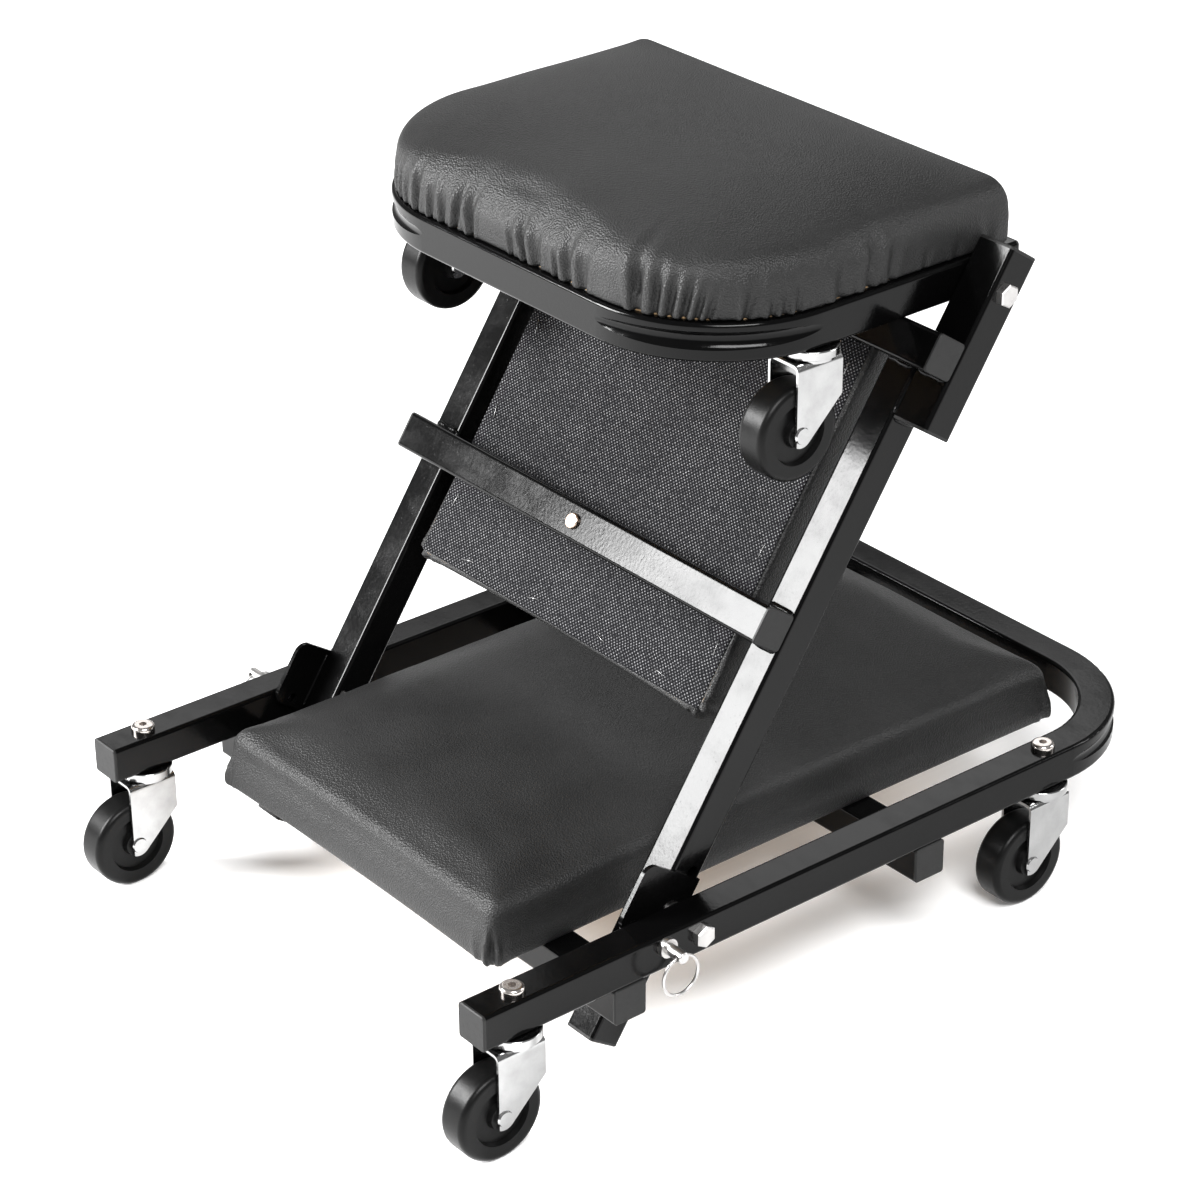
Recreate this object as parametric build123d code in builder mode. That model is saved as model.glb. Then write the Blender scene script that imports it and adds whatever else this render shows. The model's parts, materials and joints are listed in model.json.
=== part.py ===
from build123d import *
import math
import os

# Rolling mechanic seat whose three hinged frames fold flat into a creeper. Millimetres, +Z up.
# +X runs from the open end of the base to its closed, rounded end, and the right side is -Y.
# The origin is on the floor, under the middle of the part. The rest pose is the seat.

# Square steel tube of all frames
tube = 25.4
tube_wall = 1.6
tube_corner = 2.6
cap_flange = 2.0
cap_plug_depth = 9.0
cap_wall = 2.4
cap_clearance = 0.1

# Base frame, a U lying on its side
base_width = 434.0
base_length = 601.0
base_bend_radius = 98.0
bend_groove_radius = 7.0
bend_groove_depth = 3.4
bend_groove_fade = 0.3
bend_groove_rise = 1.6
rear_tube_inset = 370.4

# Casters: the mounting plane is the underside of a frame tube
caster_height = 85.3
caster_trail = 17.8
front_stem_inset = 31.8
rear_stem_inset = 485.2
wheel_radius = 31.75
wheel_width = 22.4
wheel_edge_radius = 4.2
wheel_recess_outer = 20.5
wheel_recess_inner = 8.6
wheel_recess_depth = 3.6
wheel_recess_slope_share = 0.33
axle_radius = 4.0
axle_clearance = 0.05
axle_head_radius = 5.6
axle_head_height = 1.3
axle_head_taper = 25
fork_sheet = 1.8
fork_wheel_gap = 0.6
fork_shoulder_radius = 4.5
fork_back = 22.0
fork_front = 14.5
fork_foot_radius = 8.4
fork_web_depth = 27.0
fork_dish_radius = 15.6
cup_radius = 18.4
cup_sheet = 1.8
cup_skirt = 5.6
ball_radius = 2.5
ball_pitch_radius = 10.6
ball_count = 8
ball_clearance = 0.1

# Bolts with a round head and a hex socket that hold the casters
stem_radius = 4.0
stem_clearance = 0.06
stem_head_radius = 8.1
stem_head_height = 4.6
stem_head_round = 2.4
stem_socket_width = 5.0
stem_socket_depth = 2.6
stem_foot_radius = 7.0
stem_foot_height = 3.4

# Leg frame, which carries the seat and folds about the pivot bolts
leg_angle = 56.0
leg_gap = 5.8
leg_tail = 93.9
pivot_inset = 171.6
pivot_rise = 1.5
cross_bar_along = 191.0
tail_stop_gap = 0.7
bracket_width = 29.6
bracket_low = 341.6
bracket_high = 467.4
bracket_wall = 1.8

# Seat frame, a U hinged between the brackets
hinge_along = 439.1
hinge_offset = 1.5
seat_side_gap = 0.7
seat_reach = 220.4
seat_tail = 43.0
seat_stem_back = 121.0
seat_bend_radius = 97.0
seat_rest_gap = 0.3
tail_sweep_gap = 1.8

# Pivot and hinge bolts with hexagon heads
bolt_radius = 4.0
bolt_clearance = 0.05
bolt_head_flats = 13.6
bolt_head_height = 5.6
bolt_head_chamfer = 0.8
nut_height = 5.2
spacer_radius = 9.0

# Lock plates on the legs and the spring pins that hold them
plate_sheet = 3.0
plate_low = 19.5
plate_high = 27.0
plate_tall = 41.0
plate_foot = 9.5
plate_corner = 9.0
pin_back = 29.3
pin_rise = 3.2
pin_radius = 4.0
pin_clearance = 0.08
pin_reach = 18.6
pin_tip_gap = 0.2
pin_tip_chamfer = 1.2
pin_collar_radius = 5.9
pin_collar_length = 1.6
pin_collar_inset = 11.6
pin_hole_radius = 2.2
pin_hole_inset = 3.9
boss_radius = 6.6
boss_length = 4.0
spring_wire = 1.1
spring_turns = 5
spring_clearance = 0.25
ring_radius = 13.9
ring_wire = 1.1

# Boards and pads. The vinyl wraps the board, so each pad has a pocket under it for the board.
board_thickness = 9.0
board_wall = 3.2
board_clearance = 0.15
pad_side_gap = 10.8
pad_height = 42.0
pad_crown = 8.5
pad_round = 11.0
pad_corner = 9.0
pad_draw = 2.2
lower_pad_front_gap = 114.6
lower_pad_rear_gap = 20.6
middle_pad_low = 117.5
middle_pad_high = 397.0
middle_pad_height = 40.0
cover_thickness = 0.8
cover_inset = 6.0

# Seat cushion, with a straight rear edge and a front that follows the bends of its frame
cushion_side_inset = 2.4
cushion_rear_reach = 37.0
cushion_height = 40.0
cushion_crown = 14.0
cushion_round = 17.0
cushion_rear_round = 5.0
cushion_corner = 7.0
cushion_draw = 1.6

# Pad screws
screw_radius = 2.4
screw_head_radius = 5.4
screw_head_height = 2.6
screw_bite = 6.5
screw_slot_width = 1.1
screw_slot_length = 5.6
screw_slot_depth = 1.3
screw_side = 92.0
seat_screw_front = 92.0
seat_screw_rear = 26.0
screw_clearance = 0.1

# One overrun that serves all cuts
overrun = 2.0

# Pad form: heights above the underside as shares of the height to the rounded edge, and
# how much of the edge rounding, of the crown's run-in and of the side draw each level has
rim_height_share = 0.45
rim_swell_share = 0.35
edge_steps = 4
edge_turn = 72
crown_steps = 6
crown_power = 2.4
crown_reach_share = 0.86
corner_limit_share = 0.75
corner_shrink_share = 0.5

os.makedirs("parts", exist_ok=True)

front_overhang = caster_trail + wheel_radius - front_stem_inset
open_end_x = (front_overhang - base_length) / 2
closed_end_x = open_end_x + base_length
rail_bottom = caster_height
rail_mid = rail_bottom + tube / 2
rail_top = rail_bottom + tube
base_side = base_width / 2
base_inner = base_side - tube
base_rail_y = base_side - tube / 2

leg_side = base_inner - leg_gap
leg_inner = leg_side - tube
leg_y = leg_side - tube / 2
pivot_x = open_end_x + pivot_inset
pivot_z = rail_mid + pivot_rise
leg_sin = math.sin(math.radians(leg_angle))
leg_cos = math.cos(math.radians(leg_angle))
leg_run = Vector(leg_cos, 0, leg_sin)
leg_under_dir = Vector(-leg_sin, 0, leg_cos)
leg_under = pivot_rise + tube / 2

hinge_n = pivot_rise + hinge_offset
bracket_side = leg_side + bracket_width
seat_side = leg_side - seat_side_gap
seat_y = seat_side - tube / 2
top_tube_corner = hinge_along - (
    tube / 2 - hinge_offset + seat_rest_gap + (leg_under + tube - hinge_n) * leg_cos
) / leg_sin
top_tube_along = top_tube_corner - tube / 2
leg_top_end = hinge_along - math.hypot(seat_tail, tube / 2 + hinge_offset) - tail_sweep_gap
front_tube_drop = pivot_z - rail_bottom + tube
front_tube_rear_x = pivot_x - (leg_under + tail_stop_gap + front_tube_drop * leg_cos) / leg_sin
front_tube_x = front_tube_rear_x - tube / 2
rear_tube_x = open_end_x + rear_tube_inset

pad_side = leg_inner - pad_side_gap
fork_inner = wheel_width / 2 + fork_wheel_gap
fork_outer = fork_inner + fork_sheet
axle_drop = caster_height - wheel_radius
fork_drop = cup_sheet + 2 * (ball_radius + ball_clearance)
fork_under = fork_drop + fork_sheet


def leg_point(along, n, y=0):
    """A point of the leg frame: along the legs from the pivot, and n towards their underside."""
    return Vector(pivot_x, y, pivot_z) + leg_run * along + leg_under_dir * n


hinge = leg_point(hinge_along, hinge_n)
seat_mid = hinge.Z + hinge_offset
seat_bottom = seat_mid - tube / 2
seat_top = seat_mid + tube / 2
seat_front_x = hinge.X - seat_reach
seat_rear_x = hinge.X + seat_tail
seat_stem_x = hinge.X - seat_stem_back
pin_x = pivot_x - pin_back
pin_z = pivot_z + pin_rise
pin_inner_y = base_inner + pin_tip_gap
pin_outer_y = base_side + pin_reach


def leg_side_plane(y, along=0, n=0):
    """A plane across Y in the leg frame: local x runs along the legs, local y to their underside."""
    return Plane(origin=leg_point(along, n, y), x_dir=leg_run, z_dir=(0, -1, 0))


def leg_end_plane(y, along, n=pivot_rise):
    """A plane square to the legs, facing up along them."""
    return Plane(origin=leg_point(along, n, y), x_dir=(0, 1, 0), z_dir=leg_run)


def finish(piece, name):
    """Label a finished piece and write its STEP file."""
    piece.label = name
    export_step(piece, f"parts/{name}.step")


def tube_section(width, depth, wall=0.0):
    """The rounded outline of a tube, or of its bore where a wall is given."""
    RectangleRounded(width - 2 * wall, depth - 2 * wall, max(tube_corner - wall, tube_corner / 4))


def straight_tube(plane, length, width=tube, depth=tube, wall=tube_wall):
    """A straight hollow tube that starts at a plane and runs along its normal."""
    with BuildPart() as run:
        with BuildSketch(plane):
            tube_section(width, depth)
        extrude(amount=length)
        with BuildSketch(plane):
            tube_section(width, depth, wall)
        extrude(amount=length, mode=Mode.SUBTRACT)
    return run.part


def end_cap(plane, width=tube, depth=tube, wall=tube_wall):
    """A moulded cap: its flange starts at the plane, and its hollow plug runs back into the tube."""
    plug = wall + cap_clearance
    hollow = plug + cap_wall
    with BuildPart() as cap:
        with BuildSketch(plane):
            tube_section(width, depth)
        extrude(amount=cap_flange)
        rim = cap.faces().sort_by(Axis(plane.origin, plane.z_dir))[-1].outer_wire().edges()
        chamfer(rim, length=cap_flange / 3)
        with BuildSketch(plane):
            tube_section(width, depth, plug)
            Rectangle(width - 2 * hollow, depth - 2 * hollow, mode=Mode.SUBTRACT)
        extrude(amount=-cap_plug_depth)
    return cap.part


def round_bar(start, direction, radius, length, grow=0.0):
    """A plain round bar or drill that starts at a point and runs along a direction."""
    with BuildPart() as bar:
        with BuildSketch(Plane(origin=start, z_dir=direction)):
            Circle(radius + grow)
        extrude(amount=length)
    return bar.part


def cut(piece, *tools):
    """A piece with other shapes cut out of it."""
    with BuildPart() as result:
        add(piece)
        for tool in tools:
            add(tool, mode=Mode.SUBTRACT)
    return result.part


def group(*pieces):
    """Separate solids kept as one node."""
    return Compound(children=[solid for piece in pieces for solid in piece.solids()])


def both_sides(*pieces):
    """The right-hand solids and their mirror images on the left."""
    return group(*pieces, *[mirror(piece, about=Plane.XZ) for piece in pieces])


def u_path(start_x, run_x, side_y, mid_z, radius):
    """The bent line of a U that starts on the right, rounds the closed end and comes back."""
    with BuildLine() as path:
        FilletPolyline(
            (start_x, -side_y, mid_z),
            (run_x, -side_y, mid_z),
            (run_x, side_y, mid_z),
            (start_x, side_y, mid_z),
            radius=radius,
        )
    return path.wire()


def u_frame(start_x, end_x, side, mid_z, bend_radius, stem_xs):
    """A bent U of tube, drilled for the caster stems. A groove crushed round the outside of each
    bend runs out to nothing at both its ends, because its own circle is wider and set further back."""
    toward = math.copysign(1, end_x - start_x)
    centre_y = side - tube / 2
    run_x = end_x - toward * tube / 2
    bend_x = end_x - toward * bend_radius
    bend_y = side - bend_radius
    path_radius = bend_radius - tube / 2
    crush = bend_groove_depth / 2
    groove_back = (bend_groove_depth + bend_groove_fade) / (math.sqrt(2) - 1)
    groove_ring = bend_radius + bend_groove_radius + bend_groove_fade + groove_back
    groove_x = bend_x - toward * groove_back
    groove_y = bend_y - groove_back
    across = {"x_dir": (0, 1, 0), "z_dir": (toward, 0, 0)}
    with BuildPart() as frame:
        with BuildSketch(Plane(origin=(start_x, -centre_y, mid_z), **across)):
            tube_section(tube, tube)
        sweep(path=u_path(start_x, run_x, centre_y, mid_z, path_radius))
        with BuildSketch(Plane(origin=(start_x, crush - centre_y, mid_z), **across)):
            Rectangle(tube - 2 * tube_wall - bend_groove_depth, tube - 2 * tube_wall)
        inner_run_x = run_x - toward * crush
        inner_path = u_path(start_x, inner_run_x, centre_y - crush, mid_z, path_radius - crush)
        sweep(path=inner_path, mode=Mode.SUBTRACT)
        for y in (-centre_y, centre_y):
            with BuildSketch(Plane(origin=(start_x, y, mid_z), **across)):
                tube_section(tube, tube, tube_wall)
            extrude(amount=abs(bend_x - start_x), mode=Mode.SUBTRACT)
        for y_sign in (-1, 1):
            turn = math.degrees(math.atan2(y_sign, toward)) - 45
            groove_z = mid_z + bend_groove_rise
            with Locations(Location((groove_x, y_sign * groove_y, groove_z), (0, 0, turn))):
                Torus(
                    groove_ring, bend_groove_radius, major_angle=90, align=None, mode=Mode.SUBTRACT
                )
        for x in stem_xs:
            with Locations((x, -centre_y, mid_z), (x, centre_y, mid_z)):
                Cylinder(stem_radius + stem_clearance, 2 * tube, mode=Mode.SUBTRACT)
    return frame.part


def pad_outline(plane, size, corners, insets, draw):
    """One level of a pad: four drawn-in sides and four rounded corners, local x across the pad."""
    length, half = size
    inset, rear_inset = insets
    side = half - inset
    front, rear = inset, length - rear_inset
    widest_corner = min(side, (rear - front) / 2) * corner_limit_share
    front_radius, rear_radius = (min(radius, widest_corner) for radius in corners)
    front_start, rear_start = front + front_radius, rear - rear_radius
    middle = (front_start + rear_start) / 2
    front_cut = front_radius * (1 - math.sqrt(0.5))
    rear_cut = rear_radius * (1 - math.sqrt(0.5))
    front_x, rear_x = side - front_radius, side - rear_radius
    with BuildSketch(plane) as level:
        with BuildLine():
            ThreePointArc((-front_x, front), (0, front + draw), (front_x, front))
            ThreePointArc((front_x, front), (side - front_cut, front + front_cut), (side, front_start))
            ThreePointArc((side, front_start), (side - draw, middle), (side, rear_start))
            ThreePointArc((side, rear_start), (side - rear_cut, rear - rear_cut), (rear_x, rear))
            ThreePointArc((rear_x, rear), (0, rear - draw), (-rear_x, rear))
            ThreePointArc((-rear_x, rear), (rear_cut - side, rear - rear_cut), (-side, rear_start))
            ThreePointArc((-side, rear_start), (draw - side, middle), (-side, front_start))
            ThreePointArc((-side, front_start), (front_cut - side, front + front_cut), (-front_x, front))
        make_face()
    return level.sketch


def soft_pad(plane, size, corners, edge_height, crown, rounds, draw):
    """A crowned pad with drawn-in sides, lofted from its underside up through level outlines."""
    reach = min(size[0] / 2, size[1])
    edge_round, rear_round = rounds
    straight = edge_height - edge_round
    swell = draw * rim_swell_share
    levels = [
        (0, (0, 0), draw),
        (straight * rim_height_share, (-swell, -swell), draw),
        (straight, (0, 0), draw),
    ]
    for step in range(1, edge_steps + 1):
        turn = math.radians(edge_turn * step / edge_steps)
        drop = 1 - math.cos(turn)
        height = straight + edge_round * math.sin(turn)
        levels.append((height, (edge_round * drop, rear_round * drop), draw * math.cos(turn)))
    top_height, top_insets, top_draw = levels[-1]
    for step in range(1, crown_steps + 1):
        run = crown_reach_share * step / crown_steps
        rise = 1 - (1 - run) ** crown_power
        insets = [inset + (reach - inset) * run for inset in top_insets]
        levels.append((top_height + crown * rise, insets, top_draw * (1 - run)))
    with BuildPart() as pad:
        for height, insets, level_draw in levels:
            shrink = insets[0] * corner_shrink_share
            corner_radii = (max(corners[0] - shrink, shrink), max(corners[1], shrink))
            add(pad_outline(plane.offset(height), size, corner_radii, insets, level_draw))
        loft(ruled=True)
    return pad.part


def flat_layer(plane, size, corners, inset, thickness, draw):
    """A flat sheet with the outline of a pad's underside, set in from its edge."""
    with BuildPart() as layer:
        add(pad_outline(plane, size, corners, (inset, inset), draw))
        extrude(amount=thickness, dir=plane.z_dir)
    return layer.part


def stems(points, mount_z, rail_top_z):
    """Bolts that hold casters: a round socket head on the rail, a shank and a riveted foot."""
    foot_z = mount_z - fork_under - ball_clearance - stem_foot_height
    with BuildPart() as bolts:
        for x, y in points:
            with BuildSketch(Plane(origin=(x, y, foot_z))):
                Circle(stem_radius)
            extrude(amount=rail_top_z - foot_z)
            with BuildSketch(Plane(origin=(x, y, foot_z))):
                Circle(stem_foot_radius)
            extrude(amount=stem_foot_height)
            with BuildSketch(Plane(origin=(x, y, rail_top_z))):
                Circle(stem_head_radius)
            extrude(amount=stem_head_height)
        crowns = bolts.edges().group_by(Axis.Z)[-1]
        fillet(crowns, radius=stem_head_round)
        for x, y in points:
            with BuildSketch(Plane(origin=(x, y, rail_top_z + stem_head_height))):
                RegularPolygon(stem_socket_width / 2, 6, major_radius=False)
            extrude(amount=-stem_socket_depth, mode=Mode.SUBTRACT)
    return bolts.part


def swivel_cups(points, mount_z):
    """Pressed cups under the rails that cover the swivel bearings."""
    with BuildPart() as cups:
        for x, y in points:
            with BuildSketch(Plane(origin=(x, y, mount_z))):
                Circle(cup_radius)
                Circle(stem_radius + stem_clearance, mode=Mode.SUBTRACT)
            extrude(amount=-cup_sheet)
            with BuildSketch(Plane(origin=(x, y, mount_z))):
                Circle(cup_radius)
                Circle(cup_radius - cup_sheet, mode=Mode.SUBTRACT)
            extrude(amount=-cup_skirt)
        rims = cups.edges().filter_by(GeomType.CIRCLE).group_by(SortBy.RADIUS)[-1]
        fillet(rims.group_by(Axis.Z)[-1], radius=cup_sheet / 2)
    return cups.part


def swivel_balls(points, mount_z):
    """The ball ring between each cup and its fork."""
    ball_z = mount_z - cup_sheet - ball_clearance - ball_radius
    with BuildPart() as balls:
        for x, y in points:
            with Locations((x, y, ball_z)):
                with PolarLocations(ball_pitch_radius, ball_count):
                    Sphere(ball_radius)
    return balls.part


def caster_fork(x, y, mount_z):
    """A fork pressed from sheet: a web with a dish round the stem, and two tapered legs."""
    leg_depth = axle_drop + fork_foot_radius + overrun
    slot_depth = leg_depth + tube
    with BuildPart() as fork:
        with BuildSketch(Plane(origin=(x + fork_front, y, mount_z), x_dir=(0, -1, 0), z_dir=(-1, 0, 0))):
            with Locations((0, -fork_drop - leg_depth / 2)):
                RectangleRounded(2 * fork_outer, leg_depth, fork_shoulder_radius)
            with Locations((0, -fork_under - slot_depth / 2)):
                RectangleRounded(
                    2 * fork_inner, slot_depth, fork_shoulder_radius - fork_sheet, mode=Mode.SUBTRACT
                )
        extrude(amount=fork_front + fork_back)
        with BuildSketch(Plane(origin=(x, y, mount_z), x_dir=(1, 0, 0), z_dir=(0, -1, 0))):
            with Locations((-caster_trail, -axle_drop)):
                Circle(fork_foot_radius)
            with BuildLine():
                Polyline(
                    (-fork_back, -fork_drop),
                    (fork_front, -fork_drop),
                    (fork_front, -fork_drop - fork_web_depth),
                    close=True,
                )
            make_face()
            make_hull()
        extrude(amount=2 * fork_outer, both=True, mode=Mode.INTERSECT)
        with BuildSketch(Plane(origin=(x, y, mount_z - fork_under))):
            Circle(fork_dish_radius)
        extrude(amount=fork_sheet)
        with Locations((x, y, mount_z - fork_under)):
            Cylinder(stem_radius + stem_clearance, 2 * tube, mode=Mode.SUBTRACT)
        with Locations(Location((x - caster_trail, y, mount_z - axle_drop), (90, 0, 0))):
            Cylinder(axle_radius, 2 * tube, mode=Mode.SUBTRACT)
    return fork.part


def caster_axle(x, y, mount_z):
    """A riveted axle with a low head outside each fork leg."""
    centre = Vector(x - caster_trail, y, mount_z - axle_drop)
    with BuildPart() as axle:
        with Locations(Location(centre, (90, 0, 0))):
            Cylinder(axle_radius, 2 * fork_outer)
        for side in (-1, 1):
            face = centre + Vector(0, side * fork_outer, 0)
            with BuildSketch(Plane(origin=face, z_dir=(0, side, 0))):
                Circle(axle_head_radius)
            extrude(amount=axle_head_height, taper=axle_head_taper)
    return axle.part


def caster_wheel(x, y, mount_z):
    """A moulded wheel: hub boss, recessed web and a tread with rounded edges."""
    centre = Vector(x - caster_trail, y, mount_z - axle_drop)
    half = wheel_width / 2
    bore = axle_radius + axle_clearance
    slope = wheel_recess_depth * wheel_recess_slope_share
    edge = wheel_radius - wheel_edge_radius
    round_off = wheel_edge_radius * math.sqrt(0.5)
    floor = half - wheel_recess_depth
    profile = [
        (bore, half),
        (wheel_recess_inner, half),
        (wheel_recess_inner + slope, floor),
        (wheel_recess_outer - slope, floor),
        (wheel_recess_outer, half),
        (edge, half),
    ]
    shoulder = half - wheel_edge_radius
    with BuildPart() as wheel:
        with BuildSketch(Plane(origin=centre)):
            with BuildLine():
                Polyline(*profile)
                ThreePointArc(
                    (edge, half), (edge + round_off, shoulder + round_off), (wheel_radius, shoulder)
                )
                Line((wheel_radius, shoulder), (wheel_radius, -shoulder))
                ThreePointArc(
                    (wheel_radius, -shoulder), (edge + round_off, -shoulder - round_off), (edge, -half)
                )
                Polyline(*[(radius, -side) for radius, side in reversed(profile)])
                Line((bore, -half), (bore, half))
            make_face()
        revolve(axis=Axis(centre, (0, 1, 0)))
    return wheel.part


def hex_bolt(head_face, inward, shank_length):
    """A hexagon-head bolt: the head stands on head_face and the shank runs inward."""
    with BuildPart() as bolt:
        with BuildSketch(Plane(origin=head_face, z_dir=-inward)):
            RegularPolygon(bolt_head_flats / 2, 6, major_radius=False)
        extrude(amount=bolt_head_height)
        crown = bolt.faces().sort_by(Axis(head_face, -inward))[-1]
        chamfer(crown.edges(), length=bolt_head_chamfer)
        with BuildSketch(Plane(origin=head_face, z_dir=inward)):
            Circle(bolt_radius)
        extrude(amount=shank_length)
    return bolt.part


def hex_nut(face, inward):
    """A nut that bears on a face, threaded on a bolt that runs inward."""
    with BuildPart() as nut:
        with BuildSketch(Plane(origin=face, z_dir=inward)):
            RegularPolygon(bolt_head_flats / 2, 6, major_radius=False)
            Circle(bolt_radius, mode=Mode.SUBTRACT)
        extrude(amount=nut_height)
    return nut.part


def pan_screw(head_face, inward, grip):
    """A cross-slotted pan-head screw: the head stands on head_face and the shank runs inward."""
    with BuildPart() as screw:
        with BuildSketch(Plane(origin=head_face, z_dir=-inward)):
            Circle(screw_head_radius)
        extrude(amount=screw_head_height)
        crown = screw.faces().sort_by(Axis(head_face, -inward))[-1]
        fillet(crown.edges(), radius=screw_head_height / 2)
        with BuildSketch(Plane(origin=head_face - inward * screw_head_height, z_dir=inward)):
            Rectangle(screw_slot_length, screw_slot_width)
            Rectangle(screw_slot_width, screw_slot_length)
        extrude(amount=screw_slot_depth, mode=Mode.SUBTRACT)
        with BuildSketch(Plane(origin=head_face, z_dir=inward)):
            Circle(screw_radius)
        extrude(amount=grip)
    return screw.part


def along_y(x, y, z, radius, length, grow=0.0):
    """A round bar on the right-hand side that starts at a point and runs towards +Y."""
    return round_bar(Vector(x, y, z), Vector(0, 1, 0), radius, length, grow)


# Base frame
front_stem_x = open_end_x + front_stem_inset
rear_stem_x = open_end_x + rear_stem_inset
base_stems = [(x, side * base_rail_y) for x in (front_stem_x, rear_stem_x) for side in (-1, 1)]
through = 2 * tube
pin_drill = along_y(pin_x, -base_side - overrun, pin_z, pin_radius, tube + 2 * overrun, pin_clearance)
pivot_drill = along_y(pivot_x, -base_side - overrun, pivot_z, bolt_radius, through, 0)
base_frame = cut(
    u_frame(
        open_end_x + cap_flange,
        closed_end_x,
        base_side,
        rail_mid,
        base_bend_radius,
        (front_stem_x, rear_stem_x),
    ),
    pin_drill,
    pivot_drill,
    mirror(pin_drill, about=Plane.XZ),
    mirror(pivot_drill, about=Plane.XZ),
)
finish(base_frame, "base_frame")

pad_tube_z = rail_bottom - tube / 2
up = Vector(0, 0, 1)
screw_low_z = rail_bottom - tube
lower_grip = tube + screw_bite
lower_screws = []
for tube_x, name in ((front_tube_x, "front_cross_tube"), (rear_tube_x, "rear_cross_tube")):
    start = Plane(origin=(tube_x, -base_side + cap_flange, pad_tube_z), x_dir=(1, 0, 0), z_dir=(0, 1, 0))
    screw_points = [Vector(tube_x, side * screw_side, screw_low_z) for side in (-1, 1)]
    drills = [
        round_bar(point - up * overrun, up, screw_radius, lower_grip, screw_clearance)
        for point in screw_points
    ]
    finish(cut(straight_tube(start, base_width - 2 * cap_flange), *drills), name)
    lower_screws += [pan_screw(point, up, lower_grip) for point in screw_points]
finish(group(*lower_screws), "lower_pad_screws")

rail_end = Vector(open_end_x + cap_flange, -base_rail_y, rail_mid)
base_caps = [end_cap(Plane(origin=rail_end, x_dir=(0, 1, 0), z_dir=(-1, 0, 0)))]
for tube_x in (front_tube_x, rear_tube_x):
    tube_end = Vector(tube_x, -base_side + cap_flange, pad_tube_z)
    base_caps.append(end_cap(Plane(origin=tube_end, x_dir=(1, 0, 0), z_dir=(0, -1, 0))))
finish(both_sides(*base_caps), "base_end_caps")

finish(stems(base_stems, rail_bottom, rail_top), "base_caster_bolts")
finish(swivel_cups(base_stems, rail_bottom), "base_swivel_cups")
finish(swivel_balls(base_stems, rail_bottom), "base_swivel_balls")

# Pivot bolts of the legs
left = Vector(0, 1, 0)
pivot_head = Vector(pivot_x, -base_side, pivot_z)
pivot_shank = base_side - leg_inner + bolt_clearance + nut_height + cap_flange
pivot_bolt = hex_bolt(pivot_head, left, pivot_shank)
finish(both_sides(pivot_bolt), "pivot_bolts")
pivot_nut = hex_nut(Vector(pivot_x, -leg_inner + bolt_clearance, pivot_z), left)
with BuildPart() as spacer:
    with BuildSketch(Plane(origin=(pivot_x, -base_inner, pivot_z), z_dir=left)):
        Circle(spacer_radius)
        Circle(bolt_radius, mode=Mode.SUBTRACT)
    extrude(amount=leg_gap - plate_sheet - bolt_clearance)
finish(both_sides(pivot_nut, spacer.part), "pivot_nuts_and_spacers")

# Spring pins that lock the legs
with BuildPart() as boss:
    with BuildSketch(Plane(origin=(pin_x, -base_side, pin_z), z_dir=-left)):
        Circle(boss_radius)
        Circle(pin_radius + pin_clearance, mode=Mode.SUBTRACT)
    extrude(amount=boss_length)
finish(both_sides(boss.part), "pin_bosses")

pin_hole_y = pin_outer_y - pin_hole_inset
collar_y = base_inner + pin_collar_inset + pin_collar_length
with BuildPart() as lock_pin:
    with BuildSketch(Plane(origin=(pin_x, -pin_outer_y, pin_z), z_dir=left)):
        Circle(pin_radius)
    extrude(amount=pin_outer_y - pin_inner_y)
    chamfer(lock_pin.edges().group_by(Axis.Y)[-1], length=pin_tip_chamfer)
    fillet(lock_pin.edges().group_by(Axis.Y)[0], radius=pin_tip_chamfer)
    with BuildSketch(Plane(origin=(pin_x, -collar_y, pin_z), z_dir=left)):
        Circle(pin_collar_radius)
    extrude(amount=pin_collar_length)
    with Locations(Location((pin_x, -pin_hole_y, pin_z), (0, 90, 0))):
        Cylinder(pin_hole_radius, through, mode=Mode.SUBTRACT)

with BuildPart() as pin_ring:
    with BuildSketch(Plane(origin=(pin_x, -pin_hole_y, pin_z - ring_radius))):
        with Locations((ring_radius, 0)):
            Circle(ring_wire)
    revolve(axis=Axis((pin_x, -pin_hole_y, pin_z - ring_radius), (0, 1, 0)))

spring_room = base_side - tube_wall - collar_y
spring_radius = pin_radius + spring_clearance + spring_wire / 2
spring_height = spring_room - spring_wire - 2 * spring_clearance
spring_start = collar_y + spring_wire / 2 + spring_clearance
spring_pitch = spring_height / spring_turns
spring_plane = Plane(origin=(pin_x, -spring_start, pin_z), x_dir=(1, 0, 0), z_dir=-left)
with BuildPart() as spring:
    with BuildLine() as coil:
        Helix(pitch=spring_pitch, height=spring_height, radius=spring_radius)
    with BuildSketch(coil.line ^ 0):
        Circle(spring_wire / 2)
    sweep(is_frenet=True)
lock_spring = spring.part.moved(spring_plane.location)
print("spring gap between turns", round(spring_pitch - spring_wire, 2))

pin_pieces = (
    (lock_pin.part, "lock_pin"),
    (pin_ring.part, "pin_ring"),
    (lock_spring, "lock_spring"),
)
for piece, name in pin_pieces:
    finish(piece, f"{name}_right")
    finish(mirror(piece, about=Plane.XZ), f"{name}_left")

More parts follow.
